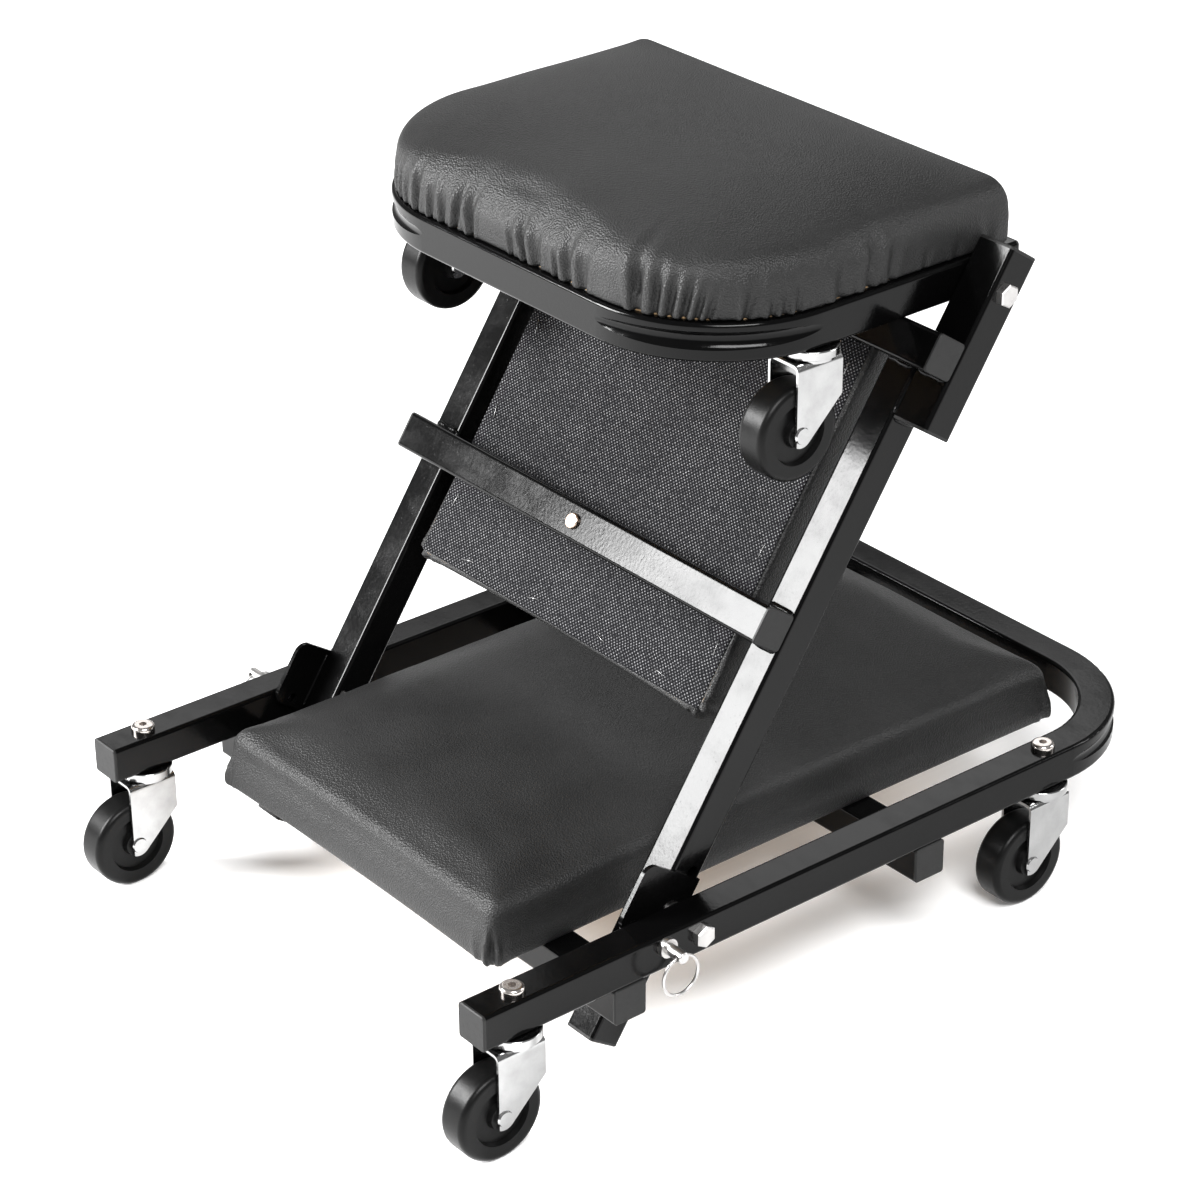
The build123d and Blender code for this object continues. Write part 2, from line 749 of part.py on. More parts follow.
# Lower pad
lower_plane = Plane(
    origin=(pivot_x - lower_pad_front_gap, 0, rail_bottom), x_dir=(0, -1, 0), z_dir=(0, 0, 1)
)
lower_length = closed_end_x - tube - lower_pad_rear_gap - (pivot_x - lower_pad_front_gap)
lower_size = (lower_length, pad_side)
pad_corners = (pad_corner, pad_corner)
pad_rounds = (pad_round, pad_round)
middle_plane = Plane(
    origin=leg_point(middle_pad_low, leg_under - cover_thickness), x_dir=(0, 1, 0), z_dir=-leg_under_dir
)
middle_size = (middle_pad_high - middle_pad_low, pad_side)
cushion_plane = Plane(
    origin=(seat_front_x + cushion_side_inset, 0, seat_top), x_dir=(0, -1, 0), z_dir=(0, 0, 1)
)
cushion_size = (seat_reach + cushion_rear_reach - cushion_side_inset, seat_side - cushion_side_inset)
cushion_corners = (seat_bend_radius - cushion_side_inset, cushion_corner)


def pad_and_board(plane, size, corners, height, crown, rounds, draw, screws):
    """A pad with a pocket under it, and the board that fills the pocket, drilled for its screws."""
    room = board_wall + board_clearance
    pocket = flat_layer(plane, size, corners, board_wall, board_thickness, draw)
    board = flat_layer(plane, size, corners, room, board_thickness - board_clearance, draw)
    pad = soft_pad(plane, size, corners, height, crown, rounds, draw)
    return cut(pad, pocket), cut(board, *screws)


lower_pad, lower_board = pad_and_board(
    lower_plane, lower_size, pad_corners, pad_height, pad_crown, pad_rounds, pad_draw, lower_screws
)
finish(lower_pad, "lower_pad")
finish(lower_board, "lower_pad_board")

# Leg frame
leg_length = leg_top_end + leg_tail - 2 * cap_flange
seat_hole = (pin_rise * leg_sin - pin_back * leg_cos, pin_back * leg_sin + pin_rise * leg_cos)
flat_hole = (pin_back, -pin_rise)
leg_drill_y = -leg_side - plate_sheet - overrun
plate_reach = plate_sheet + tube_wall + 2 * overrun
hole_drills = [
    round_bar(leg_point(*spot, leg_drill_y), left, pin_radius, plate_reach, pin_clearance)
    for spot in (seat_hole, flat_hole)
]
leg_pivot_drill = along_y(pivot_x, leg_drill_y, pivot_z, bolt_radius, through, bolt_clearance)
leg_rail = cut(
    straight_tube(leg_end_plane(-leg_y, cap_flange - leg_tail), leg_length),
    hole_drills[1],
    leg_pivot_drill,
)
with BuildPart() as plate:
    with BuildSketch(leg_side_plane(-leg_side)):
        with Locations(((plate_high - plate_low) / 2, (plate_tall - plate_foot) / 2)):
            Rectangle(plate_high + plate_low, plate_tall + plate_foot)
        fillet(vertices().group_by(Axis.Y)[-1], radius=plate_corner)
    extrude(amount=plate_sheet)
lock_plate = cut(plate.part, *hole_drills, leg_pivot_drill)

hinge_head = Vector(hinge.X, -bracket_side, hinge.Z)
bracket_y = leg_side + bracket_width / 2
hinge_drill = along_y(hinge.X, -bracket_side - overrun, hinge.Z, bolt_radius, bracket_width + overrun)
bracket = cut(
    straight_tube(
        leg_end_plane(-bracket_y, bracket_low + cap_flange),
        bracket_high - bracket_low - 2 * cap_flange,
        width=bracket_width,
        wall=bracket_wall,
    ),
    hinge_drill,
)
for piece, name in ((leg_rail, "leg_rail"), (lock_plate, "lock_plate"), (bracket, "hinge_bracket")):
    finish(piece, f"{name}_right")
    finish(mirror(piece, about=Plane.XZ), f"{name}_left")

bar_n = leg_under + tube / 2
under = leg_under_dir * -1
middle_screws = []
leg_caps = []
for along, side, name in (
    (cross_bar_along, leg_side, "leg_cross_bar"),
    (top_tube_along, bracket_side, "leg_top_tube"),
):
    centre = leg_point(along, bar_n)
    start = Plane(origin=centre - left * (side - cap_flange), x_dir=leg_run, z_dir=left)
    screw_face = leg_point(along, leg_under + tube)
    screw_grip = tube + cover_thickness + screw_bite
    drill = round_bar(screw_face - under * overrun, under, screw_radius, screw_grip, screw_clearance)
    finish(cut(straight_tube(start, 2 * (side - cap_flange)), drill), name)
    middle_screws.append(pan_screw(screw_face, under, screw_grip))
    leg_caps.append(end_cap(Plane(origin=start.origin, x_dir=leg_run, z_dir=-left)))
finish(group(*middle_screws), "middle_pad_screws")

leg_foot = leg_point(cap_flange - leg_tail, pivot_rise, -leg_y)
leg_caps.append(end_cap(leg_end_plane(-leg_y, leg_top_end - cap_flange)))
leg_caps.append(end_cap(Plane(origin=leg_foot, x_dir=left, z_dir=-leg_run)))
bracket_top = leg_end_plane(-bracket_y, bracket_high - cap_flange)
bracket_foot = leg_point(bracket_low + cap_flange, pivot_rise, -bracket_y)
for end in (bracket_top, Plane(origin=bracket_foot, x_dir=left, z_dir=-leg_run)):
    leg_caps.append(end_cap(end, width=bracket_width, wall=bracket_wall))
finish(both_sides(*leg_caps), "leg_end_caps")

seat_inner = seat_side - tube
hinge_shank = bracket_side - seat_inner + bolt_clearance + nut_height + cap_flange
finish(both_sides(hex_bolt(hinge_head, left, hinge_shank)), "hinge_bolts")
finish(both_sides(hex_nut(Vector(hinge.X, -seat_inner + bolt_clearance, hinge.Z), left)), "hinge_nuts")

middle_pad, middle_board = pad_and_board(
    middle_plane, middle_size, pad_corners, middle_pad_height, pad_crown, pad_rounds, pad_draw, middle_screws
)
finish(middle_pad, "middle_pad")
finish(middle_board, "middle_pad_board")
cover = flat_layer(
    middle_plane.offset(-cover_thickness), middle_size, pad_corners, cover_inset, cover_thickness, pad_draw
)
finish(cut(cover, *middle_screws), "middle_pad_cover")

# Seat
seat_stems = [(seat_stem_x, side * seat_y) for side in (-1, 1)]
seat_screw_points = [
    Vector(hinge.X - back, side * seat_y, seat_bottom)
    for back in (seat_screw_front, seat_screw_rear)
    for side in (-1, 1)
]
seat_grip = tube + screw_bite
seat_drills = [
    round_bar(point - up * overrun, up, screw_radius, seat_grip, screw_clearance)
    for point in seat_screw_points
]
seat_hinge_drill = along_y(hinge.X, -seat_side - overrun, hinge.Z, bolt_radius, through, bolt_clearance)
seat_frame = cut(
    u_frame(seat_rear_x - cap_flange, seat_front_x, seat_side, seat_mid, seat_bend_radius, (seat_stem_x,)),
    *seat_drills,
    seat_hinge_drill,
    mirror(seat_hinge_drill, about=Plane.XZ),
)
finish(seat_frame, "seat_frame")
seat_end = Vector(seat_rear_x - cap_flange, -seat_y, seat_mid)
seat_cap = end_cap(Plane(origin=seat_end, x_dir=(0, 1, 0), z_dir=(1, 0, 0)))
finish(both_sides(seat_cap), "seat_end_caps")
seat_screws = [pan_screw(point, up, seat_grip) for point in seat_screw_points]
finish(group(*seat_screws), "seat_screws")
finish(stems(seat_stems, seat_bottom, seat_top), "seat_caster_bolts")
finish(swivel_cups(seat_stems, seat_bottom), "seat_swivel_cups")
finish(swivel_balls(seat_stems, seat_bottom), "seat_swivel_balls")

cushion, seat_board = pad_and_board(
    cushion_plane,
    cushion_size,
    cushion_corners,
    cushion_height,
    cushion_crown,
    (cushion_round, cushion_rear_round),
    cushion_draw,
    seat_screws,
)
head_room = [
    round_bar(Vector(x, y, seat_top), up, stem_head_radius, stem_head_height, board_wall)
    for x, y in seat_stems
]
finish(cut(cushion, *head_room), "seat_cushion")
finish(cut(seat_board, *head_room), "seat_board")

# Casters
caster_places = {
    "front_right": (front_stem_x, -base_rail_y, rail_bottom),
    "front_left": (front_stem_x, base_rail_y, rail_bottom),
    "rear_right": (rear_stem_x, -base_rail_y, rail_bottom),
    "rear_left": (rear_stem_x, base_rail_y, rail_bottom),
    "seat_right": (seat_stem_x, -seat_y, seat_bottom),
    "seat_left": (seat_stem_x, seat_y, seat_bottom),
}
for place, spot in caster_places.items():
    finish(caster_fork(*spot), f"fork_{place}")
    finish(caster_axle(*spot), f"axle_{place}")
    finish(caster_wheel(*spot), f"wheel_{place}")

print("pivot", round(pivot_x, 2), round(pivot_z, 2))
print("hinge", round(hinge.X, 2), round(hinge.Z, 2))
print("pin", round(pin_x, 2), round(pin_z, 2), "ring hinge y", round(pin_hole_y, 2))
for place, spot in caster_places.items():
    print(place, [round(value, 3) for value in spot])
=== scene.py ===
import json
import math
import random
from typing import NamedTuple

import bmesh
import bpy
from mathutils import Matrix, Vector, noise
from mathutils.kdtree import KDTree


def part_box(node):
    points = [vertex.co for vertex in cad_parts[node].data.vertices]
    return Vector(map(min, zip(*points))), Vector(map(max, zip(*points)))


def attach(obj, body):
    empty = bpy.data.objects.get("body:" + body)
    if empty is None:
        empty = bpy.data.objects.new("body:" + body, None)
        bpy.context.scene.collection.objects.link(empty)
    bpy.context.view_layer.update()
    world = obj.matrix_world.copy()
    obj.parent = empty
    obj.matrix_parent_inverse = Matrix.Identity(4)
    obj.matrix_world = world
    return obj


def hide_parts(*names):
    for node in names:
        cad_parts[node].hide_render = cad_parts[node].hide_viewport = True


# Rolling mechanic seat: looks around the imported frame. Metres, +Z up, right side -Y.

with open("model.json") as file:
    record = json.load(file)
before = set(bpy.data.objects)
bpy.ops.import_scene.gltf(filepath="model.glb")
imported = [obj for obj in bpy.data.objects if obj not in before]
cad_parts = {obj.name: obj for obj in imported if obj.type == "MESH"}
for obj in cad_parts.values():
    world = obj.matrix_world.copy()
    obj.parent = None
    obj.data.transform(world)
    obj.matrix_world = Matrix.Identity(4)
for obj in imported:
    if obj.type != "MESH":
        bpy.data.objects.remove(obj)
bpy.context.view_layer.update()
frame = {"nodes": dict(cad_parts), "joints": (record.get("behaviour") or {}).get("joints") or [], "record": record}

# Directions of the whole object

UP = Vector((0, 0, 1))
RIGHT = Vector((0, -1, 0))
BACKWARD = Vector((1, 0, 0))


def centre(node):
    """The middle of a node's box."""
    low, high = (Vector(corner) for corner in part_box(node))
    return (low + high) / 2


def span(node, direction):
    """A node's lowest and highest place along a direction."""
    places = [vertex.co.dot(direction) for vertex in frame["nodes"][node].data.vertices]
    return min(places), max(places)


# Places that follow the construction

middle_fold = next(joint for joint in frame["joints"] if joint["name"] == "middle_fold")
PIVOT = Vector(middle_fold["pos_m"])
LEG_RUN = (centre("leg_top_tube") - centre("leg_cross_bar")).normalized()
LEG_UNDER = Vector((-LEG_RUN.z, 0, LEG_RUN.x))
LEG_ANGLE = math.atan2(LEG_RUN.z, LEG_RUN.x)
RAIL_BOTTOM, rail_top = span("base_frame", UP)
TUBE = rail_top - RAIL_BOTTOM
BASE_SIDE = span("base_frame", RIGHT)[1]
BASE_INNER = BASE_SIDE - TUBE
LEG_SIDE = span("leg_rail_right", RIGHT)[1]
LEG_INNER = LEG_SIDE - TUBE
BRACKET_SIDE = span("hinge_bracket_right", RIGHT)[1]
CROSS_BAR_ALONG = (centre("leg_cross_bar") - PIVOT).dot(LEG_RUN)
TOP_TUBE_ALONG = (centre("leg_top_tube") - PIVOT).dot(LEG_RUN)
UNDER = (centre("leg_cross_bar") - PIVOT).dot(LEG_UNDER) - TUBE / 2
FRONT_TUBE_X = centre("front_cross_tube").x
REAR_TUBE_X = centre("rear_cross_tube").x


def leg_point(along, n, y):
    """A point of the leg frame: along the leg, under it, and across the object."""
    return PIVOT + LEG_RUN * along + LEG_UNDER * n + Vector((0, y, 0))


# Materials

class Nodes:
    """A small writer for one material's node tree."""

    def __init__(self, name):
        self.material = bpy.data.materials.new(name)
        self.material.use_nodes = True
        self.tree = self.material.node_tree
        self.shader = self.tree.nodes["Principled BSDF"]
        self.place = self.add("ShaderNodeTexCoord").outputs["Object"]

    def add(self, kind, **inputs):
        node = self.tree.nodes.new(kind)
        for key, value in inputs.items():
            node.inputs[key.replace("_", " ")].default_value = value
        return node

    def link(self, source, target):
        self.tree.links.new(source, target)

    def noise(self, scale, detail=3.0, roughness=0.5, vector=None, distortion=0.0):
        node = self.add(
            "ShaderNodeTexNoise", Scale=scale, Detail=detail, Roughness=roughness, Distortion=distortion
        )
        self.link(vector or self.place, node.inputs["Vector"])
        return node.outputs["Fac"]

    def stretch(self, scale, rotation=(0, 0, 0)):
        node = self.add("ShaderNodeMapping", Scale=scale, Rotation=rotation)
        self.link(self.place, node.inputs["Vector"])
        return node.outputs["Vector"]

    def cells(self, scale):
        node = self.add("ShaderNodeTexVoronoi", Scale=scale)
        self.link(self.place, node.inputs["Vector"])
        return node.outputs["Distance"]

    def ramp(self, source, stops):
        node = self.tree.nodes.new("ShaderNodeValToRGB")
        while len(node.color_ramp.elements) < len(stops):
            node.color_ramp.elements.new(0.5)
        for element, (position, value) in zip(node.color_ramp.elements, stops):
            element.position = position
            element.color = (*value, 1)
        self.link(source, node.inputs["Fac"])
        return node.outputs["Color"]

    def spread(self, source, low, high, start=0.0, end=1.0):
        node = self.add("ShaderNodeMapRange")
        node.inputs["From Min"].default_value = start
        node.inputs["From Max"].default_value = end
        node.inputs["To Min"].default_value = low
        node.inputs["To Max"].default_value = high
        self.link(source, node.inputs["Value"])
        return node.outputs["Result"]

    def math(self, operation, first, second=None):
        node = self.tree.nodes.new("ShaderNodeMath")
        node.operation = operation
        for index, value in enumerate((first, second)):
            if value is None:
                continue
            if isinstance(value, (int, float)):
                node.inputs[index].default_value = value
            else:
                self.link(value, node.inputs[index])
        return node.outputs[0]

    def bump(self, height, strength, distance, under=None):
        node = self.add("ShaderNodeBump", Strength=strength, Distance=distance)
        self.link(height, node.inputs["Height"])
        if under is not None:
            self.link(under, node.inputs["Normal"])
        return node.outputs["Normal"]

    def finish(self, color, roughness=None, normal=None, **constants):
        """Links what varies over the surface, and sets what doesn't on the shader's own sockets."""
        for key, source in (("Base Color", color), ("Roughness", roughness), ("Normal", normal)):
            if source is not None:
                self.link(source, self.shader.inputs[key])
        for key, value in constants.items():
            self.shader.inputs[key.replace("_", " ")].default_value = value
        return self.material


def powder_coat(name, tone, gloss):
    """Glossy black powder coat: faint orange peel, dust specks and rubbed patches."""
    n = Nodes(name)
    patches = n.noise(9, 4, 0.6)
    scuffs = n.noise(60, 5, 0.7, n.stretch((1, 0.35, 0.35)))
    color = n.ramp(patches, [(0.3, (tone, tone, tone * 1.05)), (0.75, (tone * 1.7, tone * 1.7, tone * 1.75))])
    worn = n.spread(scuffs, -0.02, 0.09, 0.45, 0.8)
    rough = n.math("ADD", n.spread(patches, gloss * 0.7, gloss * 1.35), worn)
    peel = n.bump(n.noise(420, 2, 0.5), 0.10, 0.0004)
    specks = n.bump(n.ramp(n.cells(330), [(0.0, (1, 1, 1)), (0.11, (0, 0, 0))]), 0.12, 0.0003, peel)
    return n.finish(color, rough, specks, IOR=1.4, Specular_IOR_Level=0.2)


def vinyl(name, tone, creases):
    """Black grained vinyl: pebble grain in small cells, soft mottling and long stretch marks."""
    n = Nodes(name)
    mottle = n.noise(14, 4, 0.55)
    bend = n.noise(45, 3, 0.5, n.stretch((1, 0.3, 1), (0, 0, 0.5)), 0.6)
    color = n.ramp(mottle, [(0.25, (tone * 0.8,) * 3), (0.8, (tone * 1.5,) * 3)])
    grain = n.cells(820)
    fine = n.noise(1900, 2, 0.6)
    rough = n.math("ADD", n.spread(mottle, 0.40, 0.52), n.spread(grain, -0.03, 0.05))
    first = n.bump(grain, 0.5, 0.0009)
    second = n.bump(fine, 0.22, 0.0003, first)
    third = n.bump(bend, creases, 0.0012, second)
    return n.finish(color, rough, third, Specular_IOR_Level=0.3)


def zinc(name, tone, warm, gloss):
    """Bright plated steel with faint drawing lines and clouding."""
    n = Nodes(name)
    cloud = n.noise(70, 4, 0.6)
    lines = n.noise(260, 3, 0.6, n.stretch((1, 1, 0.12)))
    low, high = tone * 0.82, tone * 1.12
    tint = (1, 1 - warm, 1 - 1.7 * warm)
    dull, bright = (tuple(level * part for part in tint) for level in (low, high))
    color = n.ramp(cloud, [(0.25, dull), (0.8, bright)])
    rough = n.math("ADD", n.spread(cloud, gloss * 0.8, gloss * 1.4), n.spread(lines, -0.03, 0.05))
    return n.finish(color, rough, n.bump(lines, 0.12, 0.0003), Metallic=1.0)


def moulded(name, tone, gloss, shine):
    """Moulded plastic with a fine spark-eroded skin and small scuffs."""
    n = Nodes(name)
    patches = n.noise(30, 4, 0.6)
    scuffs = n.noise(220, 4, 0.75)
    color = n.ramp(patches, [(0.25, (tone * 0.8,) * 3), (0.8, (tone * 1.4,) * 3)])
    rough = n.math("ADD", n.spread(patches, gloss * 0.85, gloss * 1.2), n.spread(scuffs, 0.0, 0.12, 0.5, 0.8))
    return n.finish(color, rough, n.bump(n.noise(1100, 2, 0.6), 0.2, 0.0003), Specular_IOR_Level=shine)


def plywood(name):
    """Raw plywood with its grain along the object."""
    n = Nodes(name)
    grain = n.noise(55, 6, 0.7, n.stretch((0.12, 1, 1)), 0.8)
    color = n.ramp(grain, [(0.3, (0.20, 0.12, 0.06)), (0.55, (0.38, 0.25, 0.13)), (0.75, (0.48, 0.34, 0.19))])
    return n.finish(color, n.spread(grain, 0.55, 0.8), n.bump(grain, 0.4, 0.0008))


def weave(name, pitch):
    """Black and grey woven cloth: two sets of threads that pass over and under each other. The grey and black
    threads and their flecks are the cloth's own colour; the threads' darkening towards the gaps is painted shade
    and their light crests a painted highlight.
    """
    n = Nodes(name)
    turned = n.stretch((1, 1, 1), (0, LEG_ANGLE, 0))
    parts = n.tree.nodes.new("ShaderNodeSeparateXYZ")
    n.link(turned, parts.inputs[0])
    along, across = parts.outputs["X"], parts.outputs["Y"]
    wave = math.pi / pitch
    u = n.math("SINE", n.math("MULTIPLY", along, wave))
    v = n.math("SINE", n.math("MULTIPLY", across, wave))
    checks = n.math("MULTIPLY", u, v)
    over = n.spread(checks, 0.0, 1.0, -0.6, 0.6)
    round_u = n.math("ABSOLUTE", u)
    round_v = n.math("ABSOLUTE", v)
    # thread relief: the bump's height, and in the colour painted shade towards the gaps between threads
    body = n.math("MULTIPLY", round_u, round_v)
    fleck = n.noise(700, 3, 0.7)
    cloud = n.noise(22, 4, 0.6)
    light = n.math("MULTIPLY", n.math("MULTIPLY", over, body), n.spread(fleck, 0.1, 1.5, 0.3, 0.7))
    bright = n.math("MULTIPLY", light, n.spread(cloud, 0.6, 1.1))
    # dark gaps are painted shade, the light crest of the grey threads a painted highlight
    gap, thread, highlight_crest = (0.006, 0.006, 0.007), (0.032, 0.032, 0.034), (0.25, 0.25, 0.255)
    color = n.ramp(bright, [(0.0, gap), (0.3, thread), (0.9, highlight_crest)])
    height = n.math("ADD", body, n.math("MULTIPLY", fleck, 0.3))
    return n.finish(color, n.spread(light, 0.85, 0.6), n.bump(height, 0.7, 0.0005), Specular_IOR_Level=0.06)


PAINT = powder_coat("powder_coat_black", tone=0.0009, gloss=0.15)
PAINT_SEAT = powder_coat("powder_coat_seat", tone=0.0008, gloss=0.12)
WELD = powder_coat("powder_coat_welds", tone=0.001, gloss=0.2)
VINYL = vinyl("vinyl_black", tone=0.009, creases=0.3)
VINYL_SEAT = vinyl("vinyl_seat", tone=0.009, creases=0.2)
CLOTH = weave("cloth_woven_grey", pitch=0.00155)
ZINC = zinc("zinc_bright", tone=0.40, warm=0.0, gloss=0.15)
ZINC_DARK = zinc("zinc_hardware", tone=0.52, warm=0.02, gloss=0.26)
NICKEL = zinc("nickel_plate", tone=0.62, warm=0.07, gloss=0.17)
COPPER = zinc("screw_copper", tone=0.62, warm=0.22, gloss=0.28)
WHEEL = moulded("wheel_black", tone=0.003, gloss=0.32, shine=0.12)
CAP = moulded("cap_black", tone=0.009, gloss=0.5, shine=0.25)
WOOD = plywood("plywood_raw")
WIRE = zinc("staple_wire", tone=0.25, warm=0.0, gloss=0.3)

SLOT_LOOK = {
    "frame_paint": PAINT,
    "cap_plastic": CAP,
    "board_wood": WOOD,
    "pad_vinyl": VINYL,
    "dust_cloth": CLOTH,
    "screw_steel": COPPER,
    "bolt_nickel": NICKEL,
    "bolt_zinc": ZINC_DARK,
    "caster_zinc": ZINC,
    "wheel_plastic": WHEEL,
}
node_slot = {row["node"]: row["material_slot"] for row in frame["record"]["subparts"]}
for name, piece in frame["nodes"].items():
    look = SLOT_LOOK[node_slot[name]]
    if name == "seat_frame":
        look = PAINT_SEAT
    for slot in piece.material_slots:
        slot.material = look


# Mesh helpers


def shade_smooth(mesh):
    for polygon in mesh.polygons:
        polygon.use_smooth = True


def new_piece(name, bm, material, body):
    """Turns a bmesh into a piece that rides on a CAD body."""
    mesh = bpy.data.meshes.new(name)
    bm.to_mesh(mesh)
    bm.free()
    mesh.materials.append(material)
    shade_smooth(mesh)
    piece = bpy.data.objects.new(name, mesh)
    bpy.context.scene.collection.objects.link(piece)
    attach(piece, body)
    return piece


def apply_modifiers(piece):
    """Swaps a piece's mesh for the same mesh with its modifiers applied."""
    depsgraph = bpy.context.evaluated_depsgraph_get()
    mesh = bpy.data.meshes.new_from_object(piece.evaluated_get(depsgraph))
    materials = [slot.material for slot in piece.material_slots]
    piece.modifiers.clear()
    piece.data = mesh
    mesh.materials.clear()
    for material in materials:
        mesh.materials.append(material)
    shade_smooth(mesh)


# Pads

BOARD_INSET = 0.00335  # from a pad's side in to its board's edge
HELD_HEIGHT = 0.0095  # the cover is held tight over the board up to here
HELD_MARGIN = 0.0002
NEAR = 0.0001
FOLD_REACH = 0.010  # how far the cover is folded under the board
FOLD_DEPTH = 0.0003  # how far that fold stands out below it
EDGE_STEPS = 9  # rings of points over a pad's rounded edge
EDGE_STEP_DEGREES = 9.2
CROWN_REACH = 0.9  # share of a pad's half width over which its crown rises
CROWN_POWER = 2.4
CROWN_PASSES = 16
CALM_END = 0.012  # softening stops this far before the rear edge
CLOTH_FRAMES = 15
SUBDIVISIONS = 2
RIM_POINTS = 6  # points of the measuring rim for each point of the pad's outline


class Swell(NamedTuple):
    """How a cover swells: the inset it starts from, the most it may grow, the pressure in it,
    the width held at its rear edge, and the softening passes afterwards."""

    inset: float
    most: float
    pressure: float
    held_rear: float
    passes: int


class PadFrame:
    """Local axes of a pad: across, along and up from the underside of its board."""

    def __init__(self, board, across, along, up):
        self.across, self.along, self.up = across, along, up
        left, right = span(board, across)
        front, rear = span(board, along)
        bottom = span(board, up)[0]
        self.half = (right - left) / 2 + BOARD_INSET
        self.length = rear - front + 2 * BOARD_INSET
        self.origin = along * (front - BOARD_INSET) + up * bottom + across * ((left + right) / 2)

    def corner(self, board, along):
        """The radius of a board's front corners: what its straight front edge lacks of its half width."""
        front = span(board, along)[0] + NEAR
        edge = [vertex.co for vertex in frame["nodes"][board].data.vertices if vertex.co.dot(along) < front]
        straight = max(point.dot(self.across) for point in edge)
        return self.half - BOARD_INSET - straight

    def world(self, across, along, up):
        """A point in the scene from its place in the pad's own axes."""
        return self.origin + self.across * across + self.along * along + self.up * up

    def local(self, point):
        """A scene point's place in the pad's own axes."""
        offset = point - self.origin
        return offset.dot(self.across), offset.dot(self.along), offset.dot(self.up)


def outline(place, insets, corners, draw, counts):
    """Points of one level of a pad: drawn-in sides and round corners."""
    inset, rear_inset = insets
    front_count, front_turn, side_count, rear_turn = counts
    side, front, rear = place.half - inset, inset, place.length - rear_inset
    front_radius, rear_radius = corners
    points = []

    def bow(start, end, normal, count):
        for step in range(count):
            share = step / count
            dip = draw * 4 * share * (1 - share)
            points.append(
                (
                    start[0] + (end[0] - start[0]) * share + normal[0] * dip,
                    start[1] + (end[1] - start[1]) * share + normal[1] * dip,
                )
            )

    def corner(middle, radius, begin, count):
        for step in range(count):
            turn = math.radians(begin + 90 * step / count)
            points.append((middle[0] + radius * math.cos(turn), middle[1] + radius * math.sin(turn)))

    front_x, rear_x = side - front_radius, side - rear_radius
    front_end, rear_end = front + front_radius, rear - rear_radius
    bow((-front_x, front), (front_x, front), (0, 1), front_count)
    corner((front_x, front_end), front_radius, -90, front_turn)
    bow((side, front_end), (side, rear_end), (-1, 0), side_count)
    corner((rear_x, rear_end), rear_radius, 0, rear_turn)
    bow((rear_x, rear), (-rear_x, rear), (0, -1), front_count)
    corner((-rear_x, rear_end), rear_radius, 90, rear_turn)
    bow((-side, rear_end), (-side, front_end), (1, 0), side_count)
    corner((-front_x, front_end), front_radius, 180, front_turn)
    return points


def top_grid(ring, across_count, along_count):
    """Fills a closed outline with a grid of points that follows its four sides."""
    total = len(ring)
    ring = [Vector((a, b, 0)) for a, b in ring]
    near = [ring[column] for column in range(across_count + 1)]
    right = [ring[across_count + row] for row in range(along_count + 1)]
    far = [ring[2 * across_count + along_count - column] for column in range(across_count + 1)]
    left = [ring[(total - row) % total] for row in range(along_count + 1)]
    grid = []
    for row in range(along_count + 1):
        v = row / along_count
        line = []
        for column in range(across_count + 1):
            u = column / across_count
            ends = (near[0] * (1 - u) + near[-1] * u) * (1 - v) + (far[0] * (1 - u) + far[-1] * u) * v
            lengthwise = near[column] * (1 - v) + far[column] * v
            line.append(lengthwise + left[row] * (1 - u) + right[row] * u - ends)
        grid.append(line)
    return grid


